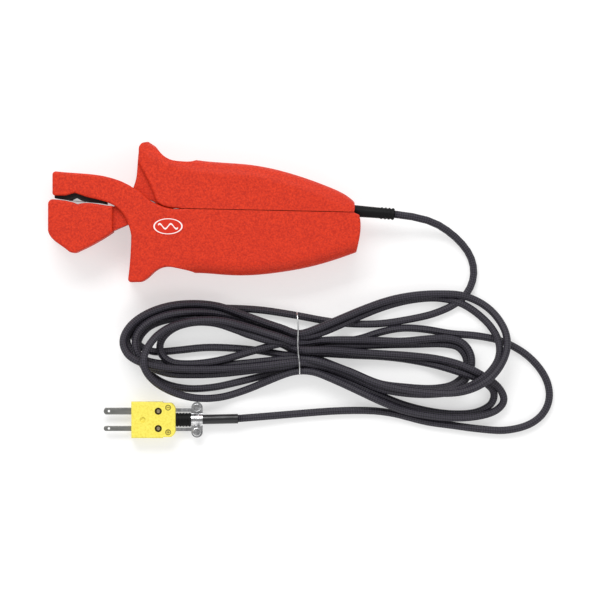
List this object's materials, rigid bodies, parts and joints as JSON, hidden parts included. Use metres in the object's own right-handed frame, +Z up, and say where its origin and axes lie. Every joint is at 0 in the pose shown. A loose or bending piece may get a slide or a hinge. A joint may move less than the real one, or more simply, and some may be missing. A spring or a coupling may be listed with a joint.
{
  "type": "pipe-clamp thermocouple",
  "caption": "Spring pipe clamp with a sensing ribbon in its upper jaw, a tied hank of cord and a miniature flat-blade thermocouple plug.",
  "frame": {"origin": "on the clamp's underside, at the centre of the clamp's length and width", "axes": "+X from the jaws towards the cord's exit, +Y towards the moving grip, +Z up from the resting face; the hinge turns about +Z"},
  "size_m": [0.2299, 0.1347, 0.0222],
  "materials": {
    "red_plastic": "matte",
    "screw_steel": "satin",
    "spring_steel": "satin",
    "black_plastic": "matte",
    "ribbon_alloy": "satin",
    "wire_insulation": "satin",
    "white_plastic": "gloss",
    "black_rubber": "matte",
    "cord_jacket": "satin",
    "tie_wire": "satin",
    "yellow_plastic": "satin",
    "blade_alloy": "satin",
    "brass_screw": "satin",
    "shrink_tube": "satin",
    "plated_steel": "bright"
  },
  "bodies": {
    "fixed_lever": {"fixed_lever_bottom_shell": "red_plastic", "fixed_lever_top_shell": "red_plastic", "fixed_lever_screws": "screw_steel", "pivot_pin": "screw_steel", "pivot_washers": "screw_steel", "torsion_spring": "spring_steel", "sensor_holder": "black_plastic", "sensing_ribbon": "ribbon_alloy", "sensor_lead_wires": "wire_insulation", "splice_sleeves": "screw_steel", "cord_conductors": "wire_insulation", "badge": "white_plastic", "handle_strain_relief": "black_rubber", "cord_lead": "cord_jacket", "cord_hank": "cord_jacket", "cord_tail": "cord_jacket", "wire_tie": "tie_wire", "plug_bottom_shell": "yellow_plastic", "plug_top_shell": "yellow_plastic", "plug_blade_wide": "blade_alloy", "plug_blade_narrow": "blade_alloy", "plug_terminal_screws": "brass_screw", "plug_body_screw": "screw_steel", "plug_bushing": "black_rubber", "heat_shrink_sleeve": "shrink_tube", "cable_clamp_upper": "plated_steel", "cable_clamp_lower": "plated_steel", "cable_clamp_screws": "plated_steel", "cable_clamp_nuts": "plated_steel"},
    "moving_lever": {"moving_lever_bottom_shell": "red_plastic", "moving_lever_top_shell": "red_plastic", "moving_lever_screws": "screw_steel"}
  },
  "joints": [
    {"name": "jaw_hinge", "type": "hinge", "parent": "fixed_lever", "child": "moving_lever", "pos_m": [-0.025, 0.001, 0.011], "axis": [0, 0, 1], "range_deg": [0, 32], "stiffness_Nm_per_rad": 0.1, "springref_deg": -28.65, "deforming": ["torsion_spring"]}
  ]
}
